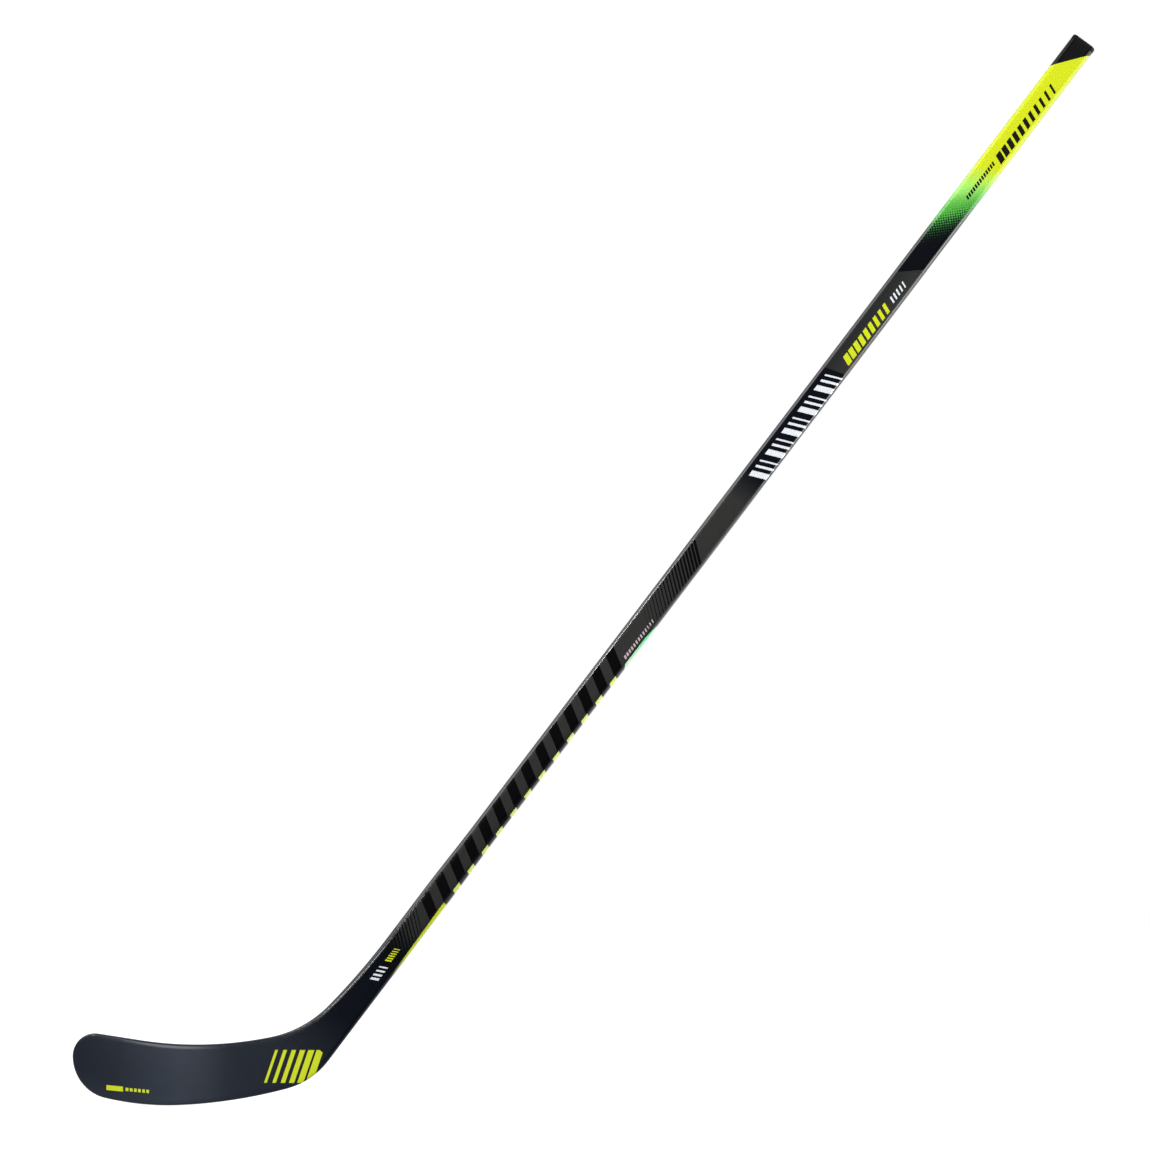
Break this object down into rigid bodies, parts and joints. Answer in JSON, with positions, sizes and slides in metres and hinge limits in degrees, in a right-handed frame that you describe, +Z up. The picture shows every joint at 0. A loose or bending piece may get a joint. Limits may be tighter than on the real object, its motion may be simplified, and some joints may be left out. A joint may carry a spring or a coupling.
{
  "type": "ice hockey stick",
  "caption": "Senior composite ice hockey stick: tapered hollow rectangular shaft, bonded curved blade with foam core, and a pull-out end plug under a rubber cap.",
  "frame": {"origin": "lowest point of the sole, where the stick touches the ice, in the mid plane of the shaft", "axes": "+X along the ice from the blade towards the butt's side, +Y out of the blade's hollow (forehand) face, +Z up; the shaft leans in the XZ plane 52.8 degrees above the ice"},
  "size_m": [1.1883, 0.0262, 1.2406],
  "materials": {
    "shaft_laminate": "lacquered dark carbon with lime and green zones",
    "blade_laminate": "satin lacquered carbon, blue black",
    "cap_rubber": "matte rubber",
    "plug_plastic": "moulded",
    "raw_fibre": "bare laminate",
    "foam": "closed cell foam",
    "resin": "cured epoxy",
    "insert_rubber": "dense elastomer"
  },
  "bodies": {
    "stick": {"shaft_tube": "shaft_laminate", "shaft_foam_stop": "foam", "hosel_tenon": "raw_fibre", "tenon_foam_core": "foam", "joint_epoxy_sleeve": "resin", "joint_filler_ring": "resin", "blade_skin_backhand": "blade_laminate", "blade_skin_forehand": "blade_laminate", "blade_edge_band": "raw_fibre", "blade_core_upper": "foam", "blade_core_lower": "foam", "blade_bridge_rib": "raw_fibre", "hosel_foam_core": "foam", "heel_insert": "insert_rubber", "toe_insert": "insert_rubber"},
    "end_plug": {"butt_plug": "plug_plastic", "butt_cap": "cap_rubber"}
  },
  "joints": [
    {"name": "end_plug_pull", "type": "slide", "parent": "stick", "child": "end_plug", "axis": [0.6046, 0, 0.7965], "range_m": [0, 0.06]}
  ]
}
